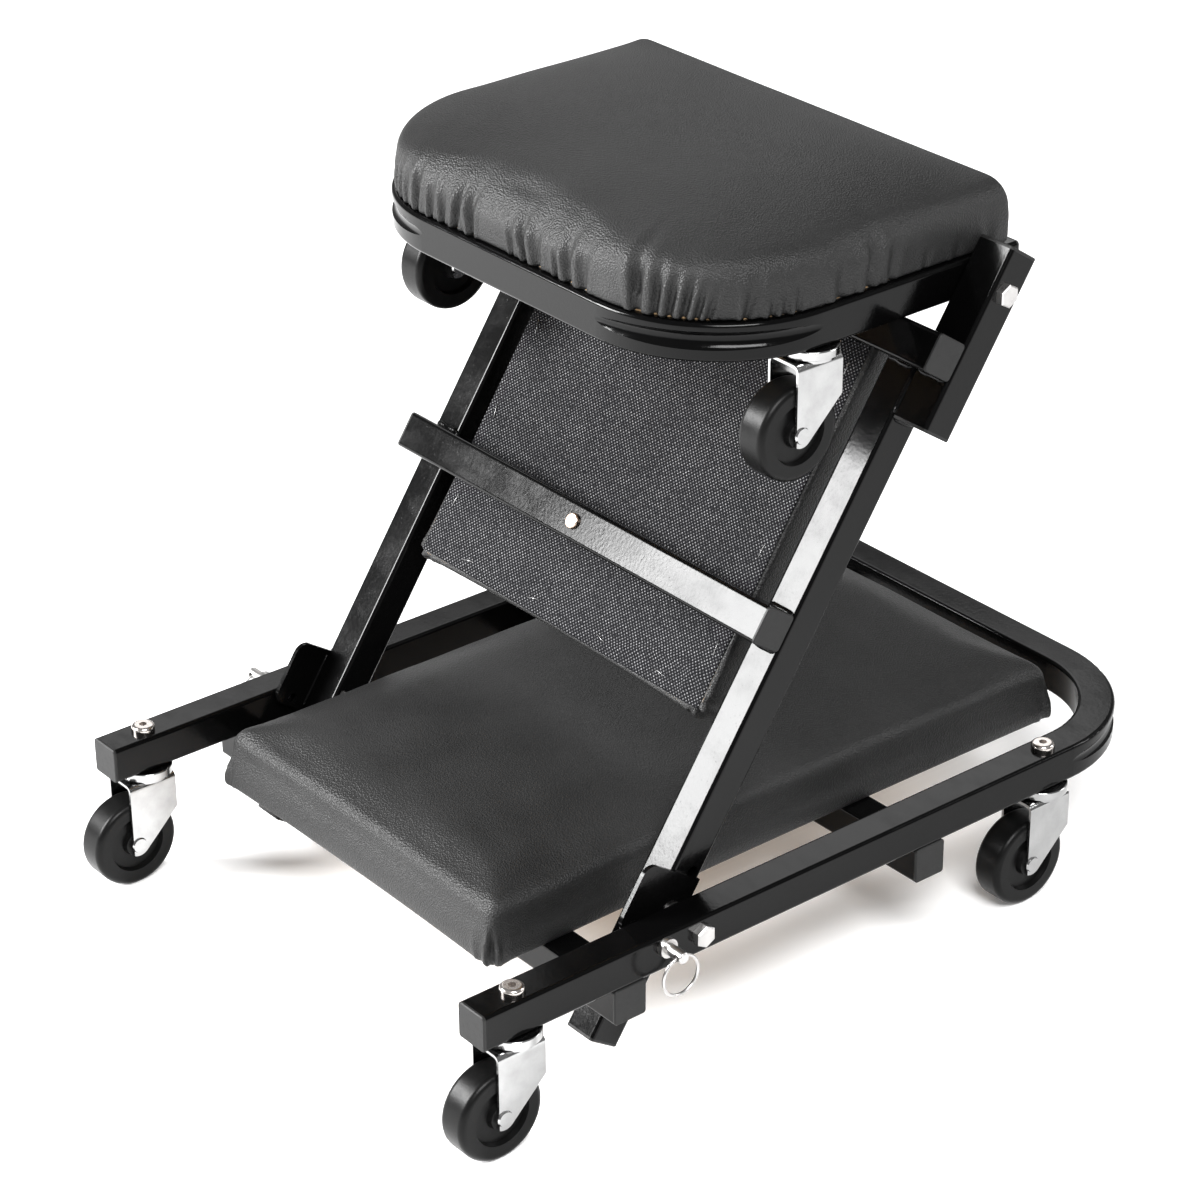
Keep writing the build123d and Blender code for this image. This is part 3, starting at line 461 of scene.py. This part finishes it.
def pad_form(place, corners, counts, heights, rounds, draw, start_inset):
    """The closed form of a pad: a rim folded under the board, drawn-in sides, a rounded edge and a crown."""
    edge_height, crown = heights
    edge_round, rear_round = rounds
    straight = edge_height - edge_round
    levels = [
        (2 * FOLD_DEPTH, (1.1 * FOLD_REACH, 1.1 * FOLD_REACH), draw),
        (-FOLD_DEPTH, (FOLD_REACH, FOLD_REACH), draw),
        (-FOLD_DEPTH, (0.3 * FOLD_REACH, 0.3 * FOLD_REACH), draw),
        (0.0010, (0.0004, 0.0004), draw),
        (0.0040, (0.0, 0.0), draw),
        (HELD_HEIGHT, (0.0, 0.0), draw),
    ]
    for share in (0.25, 0.5, 0.75, 1.0):
        inset = start_inset - draw * 0.3 * math.sin(math.pi * share)
        levels.append((HELD_HEIGHT + (straight - HELD_HEIGHT) * share, (inset, inset), draw))
    for step in range(1, EDGE_STEPS + 1):
        turn = math.radians(EDGE_STEP_DEGREES * step)
        drop = 1 - math.cos(turn)
        levels.append(
            (
                straight + edge_round * math.sin(turn),
                (start_inset + edge_round * drop, start_inset + rear_round * drop),
                draw * math.cos(turn),
            )
        )
    bm = bmesh.new()
    rows = []
    for height, insets, level_draw in levels:
        softer = 0.5 * max(0.0, insets[0])
        radii = (max(corners[0] - softer, softer), max(corners[1], softer * rear_round / edge_round))
        ring = outline(place, insets, radii, level_draw, counts)
        rows.append([bm.verts.new(place.world(a, b, height)) for a, b in ring])
    total = len(ring)
    for low, high in zip(rows, rows[1:]):
        for index in range(total):
            after = (index + 1) % total
            bm.faces.new((low[index], low[after], high[after], high[index]))
    bm.faces.new(list(reversed(rows[0])))
    front_count, front_turn, side_count, rear_turn = counts
    along_count = front_turn + side_count + rear_turn
    tree = KDTree(total)
    for index, (a, b) in enumerate(ring):
        tree.insert(Vector((a, b, 0)), index)
    tree.balance()
    reach = CROWN_REACH * min(place.length / 2, place.half)
    grid = []
    for row, line in enumerate(top_grid(ring, front_count, along_count)):
        verts = []
        for column, point in enumerate(line):
            if row == 0:
                verts.append(rows[-1][column])
            elif row == along_count:
                verts.append(rows[-1][2 * front_count + along_count - column])
            elif column == 0:
                verts.append(rows[-1][(total - row) % total])
            elif column == front_count:
                verts.append(rows[-1][front_count + row])
            else:
                run = min(1.0, tree.find(point)[2] / reach)
                rise = crown * (1 - (1 - run) ** CROWN_POWER)
                verts.append(bm.verts.new(place.world(point.x, point.y, height + rise)))
        grid.append(verts)
    for near, far in zip(grid, grid[1:]):
        for column in range(front_count):
            bm.faces.new((near[column], near[column + 1], far[column + 1], far[column]))
    inner = [vert for line in grid[1:-1] for vert in line[1:-1]]
    for _ in range(CROWN_PASSES):
        bmesh.ops.smooth_vert(bm, verts=inner, factor=0.5, use_axis_x=True, use_axis_y=True, use_axis_z=True)
    bmesh.ops.recalc_face_normals(bm, faces=bm.faces)
    return bm


def inflate(piece, place, swell):
    """Lets the cover swell as sewn cloth, held tight over the board's edge."""
    scene = bpy.context.scene
    before = [vertex.co.copy() for vertex in piece.data.vertices]
    held = piece.vertex_groups.new(name="held")
    held_points = []
    for vertex in piece.data.vertices:
        _, along, up = place.local(vertex.co)
        if up < HELD_HEIGHT + HELD_MARGIN or along > place.length - swell.held_rear:
            held_points.append(vertex.index)
    held.add(held_points, 1.0, "REPLACE")
    cloth = piece.modifiers.new("cloth", "CLOTH")
    settings = cloth.settings
    settings.quality = 4
    settings.mass = 0.3
    settings.tension_stiffness = 18
    settings.compression_stiffness = 18
    settings.shear_stiffness = 6
    settings.bending_stiffness = 0.8
    settings.use_pressure = True
    settings.uniform_pressure_force = swell.pressure
    settings.effector_weights.gravity = 0
    settings.vertex_group_mass = "held"
    cloth.point_cache.frame_start = 1
    cloth.point_cache.frame_end = CLOTH_FRAMES
    for step in range(1, CLOTH_FRAMES + 1):
        scene.frame_set(step)
    apply_modifiers(piece)
    scene.frame_set(1)
    for vertex, start in zip(piece.data.vertices, before):
        move = vertex.co - start
        if move.length > swell.most:
            vertex.co = start + move * (swell.most / move.length)
    piece.vertex_groups.clear()


def calm(piece, place, passes):
    """Softens the folds that swelling leaves above the board's edge, short of the crisp rear edge."""
    bm = bmesh.new()
    bm.from_mesh(piece.data)
    loose = []
    for vert in bm.verts:
        _, along, up = place.local(vert.co)
        if up > HELD_HEIGHT + HELD_MARGIN and along < place.length - CALM_END:
            loose.append(vert)
    for _ in range(passes):
        bmesh.ops.smooth_vert(bm, verts=loose, factor=0.5, use_axis_x=True, use_axis_y=True, use_axis_z=True)
    bm.to_mesh(piece.data)
    bm.free()


def smooth_subdivision(piece):
    """Divides a piece's faces and rounds them."""
    modifier = piece.modifiers.new("finer", "SUBSURF")
    modifier.levels = SUBDIVISIONS
    modifier.render_levels = SUBDIVISIONS
    apply_modifiers(piece)


def smoothstep(low, high, value):
    """0 below low, 1 above high, and a smooth rise between them."""
    share = min(1.0, max(0.0, (value - low) / (high - low)))
    return share * share * (3 - 2 * share)


class Rim:
    """Measures how far round a pad's outline a point is, and the way out from there."""

    def __init__(self, points):
        self.points = [Vector((a, b, 0)) for a, b in points]
        self.tree = KDTree(len(self.points))
        self.lengths = [0.0]
        for index, point in enumerate(self.points):
            self.tree.insert(point, index)
            after = self.points[(index + 1) % len(self.points)]
            self.lengths.append(self.lengths[-1] + (after - point).length)
        self.tree.balance()
        self.total = self.lengths[-1]

    def at(self, across, along):
        """The way round to the rim's nearest place, the direction out there, and how far out the point is."""
        point = Vector((across, along, 0))
        _, index, _ = self.tree.find(point)
        before = self.points[index - 1]
        here = self.points[index]
        after = self.points[(index + 1) % len(self.points)]
        run = (after - before).normalized()
        way_round = self.lengths[index] + (point - here).dot(run)
        outward = Vector((run.y, -run.x, 0))
        return way_round % self.total, outward, (point - here).dot(outward)


PLEAT_INWARD = 0.045  # no pleat reaches further in from the rim than this
PLEAT_LOWEST = 0.0003  # below this a point belongs to the fold under the board
PLEAT_UNDER = 0.0045  # and is left alone this far in
PLEAT_BULGE = 0.0018  # most that a pleat stands out
OVER_BOARD = 0.0024  # deepest groove where the board is close behind the cover
OVER_FOAM = 0.0022  # what a groove may be deeper where only foam is behind it
TIP_WIDTH = 0.0022


def gather(piece, place, rim, pleats):
    """Presses pleats into a cover's sides: (way round, depth, width, reach up, slant, drop) each."""
    total = rim.total
    for vertex in piece.data.vertices:
        across, along, up = place.local(vertex.co)
        way, outward, offset = rim.at(across, along)
        if offset < -PLEAT_INWARD or (up < PLEAT_LOWEST and offset < -PLEAT_UNDER):
            continue
        push, hang = 0.0, 0.0
        for spot, depth, width, reach, slant, drop in pleats:
            away = (way - spot - slant * up + total / 2) % total - total / 2
            wide = width * (0.7 + 0.8 * max(0.0, up) / reach)
            if abs(away) > 4 * wide:
                continue
            fade = 1 - smoothstep(0.15 * reach, reach, up)
            if fade <= 0:
                continue
            share = away / wide
            groove = math.exp(-share * share)
            bulge = 0.8 * math.exp(-((share + 1.7) ** 2) * 1.4) + 0.3 * math.exp(-((share - 1.7) ** 2) * 1.4)
            push += depth * fade * (bulge - groove)
            hang += drop * math.exp(-((away / TIP_WIDTH) ** 2)) * (1 - smoothstep(0.001, 0.008, up))
        if up >= PLEAT_LOWEST and push:
            deepest = OVER_BOARD + OVER_FOAM * smoothstep(0.009, 0.014, up)
            push = max(-deepest, min(PLEAT_BULGE, push))
            vertex.co += (place.across * outward.x + place.along * outward.y) * push
        if hang:
            vertex.co -= place.up * hang


def ripple(piece, place, amount, scales, lowest, turn, seed):
    """Soft folds in a pad's top: stretched noise that lifts and sinks the cover."""
    cos, sin = math.cos(turn), math.sin(turn)
    for vertex in piece.data.vertices:
        across, along, up = place.local(vertex.co)
        fade = smoothstep(lowest, lowest * 1.5, up)
        if fade <= 0:
            continue
        first = across * cos - along * sin
        second = across * sin + along * cos
        wave = noise.noise(Vector((first * scales[0] + seed, second * scales[1], seed * 2)))
        small = noise.noise(Vector((first * scales[0] * 2.3, second * scales[1] * 2.3 + seed, 4.0)))
        vertex.co += place.up * amount * fade * (wave + 0.35 * small)


def scatter(chance, start, end, spacing, depths, reaches):
    """Pleats along a stretch of rim, at uneven steps."""
    pleats, spot = [], start
    while spot < end:
        width = chance.uniform(0.0024, 0.0042)
        depth, reach = chance.uniform(*depths), chance.uniform(*reaches)
        pleats.append((spot, depth, width, reach, chance.uniform(-0.25, 0.25), 0.0))
        spot += chance.uniform(*spacing)
    return pleats


LOWER = PadFrame("lower_pad_board", RIGHT, BACKWARD, UP)
MIDDLE = PadFrame("middle_pad_board", -RIGHT, LEG_RUN, -LEG_UNDER)
SEAT = PadFrame("seat_board", RIGHT, BACKWARD, UP)


def make_pad(name, node, body, place, corners, counts, heights, rounds, draw, swell, material, pleats, folds):
    """A vinyl cover over foam in the space of its CAD solid.

    corners and rounds are radii, front and rear; counts are points along the front, front corner, side
    and rear corner; heights are edge and crown; draw is how far the sides are drawn in; pleats and folds
    are functions of the rim and of the piece.
    """
    form = pad_form(place, corners, counts, heights, rounds, draw, swell.inset)
    piece = new_piece(name, form, material, body)
    inflate(piece, place, swell)
    calm(piece, place, swell.passes)
    smooth_subdivision(piece)
    rim = Rim(outline(place, (0.0, 0.0), corners, draw, tuple(RIM_POINTS * count for count in counts)))
    gather(piece, place, rim, pleats(rim))
    folds(piece)
    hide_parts(node)


def corner_pleats(rim, place):
    """A folded corner: one narrow fold, a softer one beside it and a small tip of cover below."""
    pleats = []
    for across, along in ((-1, 0), (1, 0), (1, 1), (-1, 1)):
        spot = rim.at(across * place.half, along * place.length)[0]
        pleats.append((spot, 0.0042, 0.0026, 0.030, 0.0, 0.0))
        pleats.append((spot + 0.0085, 0.0016, 0.0026, 0.022, 0.10, 0.0022))
        pleats.append((spot - 0.0100, 0.0010, 0.0030, 0.026, -0.10, 0.0))
    return pleats


# Pleats of the seat's cover, in metres: place round the rim from the left end of the straight front,
# measured in the photograph, and depth, width, reach up and slant, given before the gains below

SEAT_FOLDS = (
    (-0.052, 0.0015, 0.0022, 0.026, 0),
    (-0.043, 0.0018, 0.0022, 0.028, 0),
    (-0.034, 0.0018, 0.0022, 0.028, 0),
    (-0.024, 0.0016, 0.0024, 0.026, 0),
    (-0.010, 0.0030, 0.0028, 0.034, 0.05),
    (0.005, 0.0018, 0.0024, 0.028, 0.10),
    (0.017, 0.0020, 0.0024, 0.026, 0.10),
    (0.029, 0.0032, 0.0030, 0.036, 0.30),
    (0.046, 0.0032, 0.0032, 0.036, 0.05),
    (0.087, 0.0016, 0.0020, 0.024, 0),
    (0.101, 0.0028, 0.0028, 0.032, -0.10),
    (0.112, 0.0020, 0.0042, 0.034, 0.05),
    (0.132, 0.0018, 0.0026, 0.026, 0.10),
    (0.144, 0.0030, 0.0044, 0.036, 0),
    (0.158, 0.0020, 0.0044, 0.032, 0.10),
    (0.2035, 0.0050, 0.0042, 0.044, 0),
    (0.216, 0.0028, 0.0028, 0.034, 0.12),
    (0.225, 0.0025, 0.0026, 0.028, 0.20),
    (0.234, 0.0025, 0.0026, 0.028, 0.25),
    (0.242, 0.0020, 0.0024, 0.024, 0.30),
    (0.249, 0.0017, 0.0024, 0.022, 0.30),
    (0.272, 0.0018, 0.0030, 0.026, 0.25),
    (0.289, 0.0016, 0.0034, 0.026, 0.15),
    (0.297, 0.0013, 0.0034, 0.024, 0.10),
    (0.306, 0.0016, 0.0030, 0.026, 0.10),
    (0.340, 0.0018, 0.0060, 0.036, 0.10),
    (0.363, 0.0034, 0.0050, 0.042, 0.20),
    (0.382, 0.0016, 0.0040, 0.032, 0.10),
)
DEPTH_GAIN = 1.2
REACH_GAIN = 1.3


def seat_pleats(rim):
    """The photograph's pleats, with rounded gains on them, and random ones over the rest of the rim."""
    chance = random.Random(41)
    pleats = []
    for spot, depth, width, reach, slant in SEAT_FOLDS:
        pleats.append((spot, round(depth * DEPTH_GAIN, 4), width, round(reach * REACH_GAIN, 3), slant, 0.0))
    end = rim.total
    pleats += scatter(chance, 0.41, 0.48, (0.020, 0.032), (0.0006, 0.0012), (0.020, 0.034))
    pleats += scatter(chance, 0.50, end - 0.24, (0.024, 0.040), (0.0004, 0.0010), (0.018, 0.030))
    pleats += scatter(chance, end - 0.22, end - 0.06, (0.011, 0.019), (0.0010, 0.0020), (0.020, 0.032))
    return [(spot % end, *rest) for spot, *rest in pleats]


FLAT_PAD_SWELL = Swell(inset=0.0012, most=0.004, pressure=3.0, held_rear=0.0, passes=4)

make_pad(
    name="lower_pad_cover",
    node="lower_pad",
    body="base",
    place=LOWER,
    corners=(0.009, 0.009),
    counts=(30, 3, 50, 3),
    heights=(0.042, 0.0085),
    rounds=(0.011, 0.011),
    draw=0.0022,
    swell=FLAT_PAD_SWELL,
    material=VINYL,
    pleats=lambda rim: corner_pleats(rim, LOWER),
    folds=lambda piece: ripple(piece, LOWER, 0.0011, (9, 26), 0.03, 0.35, 3.1),
)
make_pad(
    name="middle_pad_cover_vinyl",
    node="middle_pad",
    body="middle",
    place=MIDDLE,
    corners=(0.009, 0.009),
    counts=(30, 3, 29, 3),
    heights=(0.040, 0.0085),
    rounds=(0.011, 0.011),
    draw=0.0022,
    swell=FLAT_PAD_SWELL,
    material=VINYL,
    pleats=lambda rim: corner_pleats(rim, MIDDLE),
    folds=lambda piece: ripple(piece, MIDDLE, 0.0010, (10, 22), 0.03, -0.3, 7.7),
)
make_pad(
    name="seat_cushion_cover",
    node="seat_cushion",
    body="seat",
    place=SEAT,
    corners=(SEAT.corner("seat_board", BACKWARD) + BOARD_INSET, 0.004),
    counts=(32, 30, 23, 3),
    heights=(0.041, 0.017),
    rounds=(0.017, 0.004),
    draw=0.0016,
    swell=Swell(inset=0.0004, most=0.003, pressure=1.5, held_rear=0.009, passes=7),
    material=VINYL_SEAT,
    pleats=seat_pleats,
    folds=lambda piece: ripple(piece, SEAT, 0.0008, (8, 12), 0.035, 0.6, 1.3),
)


# Dust cover


DUST_EDGE = 0.0045  # the cloth stops this far inside the pad's side
STAPLE_INSET = 0.013
STAPLE_REACH = 0.0052  # half a staple's length
HALF_STAPLE = ((0.9, -0.0014), (1.0, -0.0006), (1.0, 0.0008))  # share of the reach, height


def dust_cover():
    """Woven cloth stapled over the back of the middle board, puckered where it is loose."""
    half = MIDDLE.half - DUST_EDGE
    low_along, high_along = DUST_EDGE, MIDDLE.length - DUST_EDGE
    rows, columns = 116, 122
    pad_along = (MIDDLE.origin - PIVOT).dot(LEG_RUN)
    bars = [CROSS_BAR_ALONG - pad_along, TOP_TUBE_ALONG - pad_along]
    bm = bmesh.new()
    grid = []
    for row in range(rows + 1):
        along = low_along + (high_along - low_along) * row / rows
        line = []
        for column in range(columns + 1):
            across = -half + 2 * half * column / columns
            free = smoothstep(0.0, 0.010, min(along - low_along, high_along - along, half - abs(across)))
            pressed = min(1.0, min(smoothstep(0.014, 0.026, abs(along - bar)) for bar in bars))
            wave = noise.noise(Vector((across * 16, along * 22, 1.7)))
            wave += 0.5 * noise.noise(Vector((across * 42, along * 42, 5.2)))
            lift = 0.0003 + 0.0006 * max(0.0, wave + 0.35)
            pull = along - 0.012 - 0.10 * max(0.0, -across - 0.03) - 0.006 * math.sin(across * 45)
            pucker = 0.0016 * math.exp(-((pull / 0.0030) ** 2)) * smoothstep(0.02, -0.05, across)
            corner = 0.0020 * math.exp(-(((across + 0.128) / 0.004) ** 2)) * smoothstep(0.034, 0.004, along)
            up = -0.0004 - pressed * free * (lift + pucker + corner)
            line.append(bm.verts.new(MIDDLE.world(across, along, up)))
        grid.append(line)
    for near, far in zip(grid, grid[1:]):
        for column in range(columns):
            bm.faces.new((near[column], near[column + 1], far[column + 1], far[column]))
    bmesh.ops.recalc_face_normals(bm, faces=bm.faces)
    piece = new_piece("dust_cover", bm, CLOTH, "middle")
    thick = piece.modifiers.new("thickness", "SOLIDIFY")
    thick.thickness = 0.0004
    thick.offset = 0
    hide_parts("middle_pad_cover")


def add_wire(bm, path, radii, sides):
    """Sweeps a round wire along a path into a mesh, with a radius for each point."""
    rows = []
    reference = None
    for index, point in enumerate(path):
        before = path[max(index - 1, 0)]
        after = path[min(index + 1, len(path) - 1)]
        run = (after - before).normalized()
        if reference is None:
            reference = run.orthogonal().normalized()
        reference = (reference - run * reference.dot(run)).normalized()
        other = run.cross(reference)
        ring = []
        for side in range(sides):
            turn = 2 * math.pi * side / sides
            outward = reference * math.cos(turn) + other * math.sin(turn)
            ring.append(bm.verts.new(point + outward * radii[index]))
        rows.append(ring)
    for low, high in zip(rows, rows[1:]):
        for side in range(sides):
            after = (side + 1) % sides
            bm.faces.new((low[side], low[after], high[after], high[side]))
    bm.faces.new(list(reversed(rows[0])))
    bm.faces.new(rows[-1])


def staples():
    """Wire staples round the dust cover's border."""
    chance = random.Random(7)
    length, half = MIDDLE.length, MIDDLE.half
    spots = []
    for share in (0.16, 0.40, 0.63, 0.86):
        for side in (-1, 1):
            spots.append((side * (half - STAPLE_INSET), length * share, math.pi / 2))
    for share in (-0.7, -0.28, 0.2, 0.66):
        spots.append((half * share, STAPLE_INSET, 0.0))
        spots.append((half * share, length - STAPLE_INSET, 0.0))
    profile = [(-step, up) for step, up in reversed(HALF_STAPLE)] + list(HALF_STAPLE)
    bm = bmesh.new()
    for across, along, turn in spots:
        turn += chance.uniform(-0.3, 0.3)
        across += chance.uniform(-0.002, 0.002)
        path = []
        for step, up in profile:
            out = STAPLE_REACH * step
            path.append(MIDDLE.world(across + out * math.cos(turn), along + out * math.sin(turn), up))
        add_wire(bm, path, [0.0003] * len(path), sides=8)
    new_piece("dust_cover_staples", bm, WIRE, "middle")


dust_cover()
staples()


# Welds


def weld_seam(name, body, seams):
    """Rippled weld beads along seams: (start, end, radius) each, painted over."""
    chance = random.Random(len(seams) + len(name))
    step_length, ripple_pitch = 0.0009, 0.0021
    bm = bmesh.new()
    for start, end, radius in seams:
        run = end - start
        steps = max(6, int(run.length / step_length))
        phase = chance.uniform(0, 6)
        swing = run.orthogonal().normalized()
        path, radii = [], []
        for step in range(steps + 1):
            share = step / steps
            taper = min(1.0, 4.5 * min(share, 1 - share) + 0.45)
            lump = 0.85 + 0.22 * abs(math.sin(share * run.length / ripple_pitch * math.pi + phase))
            wander = noise.noise(Vector((share * run.length * 160, phase, 2.0)))
            path.append(start + run * share + swing * radius * 0.25 * wander)
            radii.append(radius * (taper * lump * (1 + 0.25 * wander)))
        add_wire(bm, path, radii, sides=10)
    bmesh.ops.recalc_face_normals(bm, faces=bm.faces)
    new_piece(name, bm, WELD, body)


def base_welds():
    """Beads where the cross tubes meet the rails, on the underside."""
    seams = []

    def seam(start, end, radius):
        seams.append((Vector((*start, RAIL_BOTTOM)), Vector((*end, RAIL_BOTTOM)), radius))

    for tube_x in (FRONT_TUBE_X, REAR_TUBE_X):
        for edge in (-TUBE / 2, TUBE / 2):
            for side in (-1, 1):
                x = tube_x + edge
                seam((x, side * (BASE_INNER + 0.0015)), (x, side * (BASE_SIDE - 0.003)), radius=0.0021)
        for side in (-1, 1):
            y = side * BASE_INNER
            seam((tube_x - 0.010, y), (tube_x + 0.010, y), radius=0.0017)
    weld_seam("base_weld_beads", "base", seams)


def leg_welds():
    """Beads where cross bar, top tube, brackets and lock plates meet the leg rails."""
    seams = []
    pivot_along = PIVOT.dot(LEG_RUN)
    bracket_end = span("hinge_bracket_right", LEG_RUN)[0] - pivot_along
    plate_start, plate_end = (place - pivot_along for place in span("lock_plate_right", LEG_RUN))
    tube_start = TOP_TUBE_ALONG - TUBE / 2
    gap = 0.0035

    def seam(start, end, radius):
        seams.append((leg_point(*start), leg_point(*end), radius))

    for side in (-1, 1):
        outer = side * LEG_SIDE
        for along in (CROSS_BAR_ALONG, TOP_TUBE_ALONG):
            for edge in (-TUBE / 2, TUBE / 2):
                if along == TOP_TUBE_ALONG and edge > 0:
                    continue
                start = (along + edge, UNDER, side * (LEG_INNER + 0.002))
                end = (along + edge, UNDER, side * (LEG_SIDE - 0.002))
                seam(start, end, radius=0.0023)
        start = (bracket_end + 0.0009, UNDER - 0.001, outer)
        seam(start, (tube_start - gap, UNDER - 0.001, outer), radius=0.0019)
        start = (bracket_end - 0.002, -0.007, outer)
        seam(start, (bracket_end - 0.002, UNDER - gap, outer), radius=0.0018)
        start = (tube_start, UNDER, side * (LEG_SIDE + gap))
        seam(start, (tube_start, UNDER, side * (BRACKET_SIDE - gap)), radius=0.0019)
        seam((plate_start + gap, UNDER, outer), (plate_end - gap, UNDER, outer), radius=0.0017)
    weld_seam("leg_weld_beads", "middle", seams)


base_welds()
leg_welds()


# Camera and light


def place_camera():
    """The photograph's camera, fitted to the object's corners."""
    lens = 108.542
    place = Vector((-1.36185, -1.65053, 1.34891))
    to_right = Vector((0.77486, -0.63211, -0.00582))
    ahead = Vector((0.55543, 0.6852, -0.47116))
    camera_data = bpy.data.cameras.new("photo_camera")
    camera = bpy.data.objects.new("photo_camera", camera_data)
    bpy.context.scene.collection.objects.link(camera)
    camera_data.sensor_width = 36
    camera_data.lens = lens
    camera_data.clip_start = 0.05
    camera_data.clip_end = 60
    back = -ahead.normalized()
    right = (to_right - back * to_right.dot(back)).normalized()
    up = back.cross(right)
    turned = Matrix((right, up, back)).transposed()
    camera.matrix_world = Matrix.Translation(place) @ turned.to_4x4()
    bpy.context.scene.camera = camera


# Soft boxes: name, place, width and height, watts

SOFT_BOXES = (
    ("left_box", (-2.05, 1.45, 1.5), (1.0, 1.2), 245),
    ("back_box", (1.5, 1.9, 1.9), (1.6, 0.9), 10),
    ("key_box", (-1.0, -2.2, 2.9), (1.6, 1.3), 160),
    ("right_box", (2.6, -1.4, 1.5), (1.0, 1.3), 35),
)
LIGHT_AIM = Vector((0, 0, 0.3))


def soft_light(name, place, size, power):
    """A rectangular light that faces the object."""
    light = bpy.data.lights.new(name, "AREA")
    light.shape = "RECTANGLE"
    light.size, light.size_y = size
    light.energy = power
    lamp = bpy.data.objects.new(name, light)
    bpy.context.scene.collection.objects.link(lamp)
    lamp.location = place
    lamp.rotation_euler = (LIGHT_AIM - Vector(place)).to_track_quat("-Z", "Y").to_euler()


def studio():
    """A pale floor, a soft sky and large soft boxes."""
    bm = bmesh.new()
    bmesh.ops.create_grid(bm, x_segments=2, y_segments=2, size=40)
    mesh = bpy.data.meshes.new("studio_floor")
    bm.to_mesh(mesh)
    bm.free()
    floor = bpy.data.objects.new("studio_floor", mesh)
    bpy.context.scene.collection.objects.link(floor)
    n = Nodes("floor_paper")
    speckle = n.noise(3, 3, 0.5)
    paper = n.ramp(speckle, [(0.3, (0.92, 0.92, 0.92)), (0.7, (0.94, 0.94, 0.94))])
    glow = {"Emission_Color": (1, 1, 1, 1), "Emission_Strength": 0.14}
    mesh.materials.append(n.finish(paper, Roughness=0.9, Specular_IOR_Level=0.1, **glow))
    world = bpy.data.worlds.new("studio_sky")
    bpy.context.scene.world = world
    world.use_nodes = True
    sky = world.node_tree.nodes["Background"]
    sky.inputs["Color"].default_value = (1, 1, 1, 1)
    sky.inputs["Strength"].default_value = 0.30
    bpy.context.scene.view_settings.view_transform = "Standard"
    for box in SOFT_BOXES:
        soft_light(*box)


place_camera()
studio()
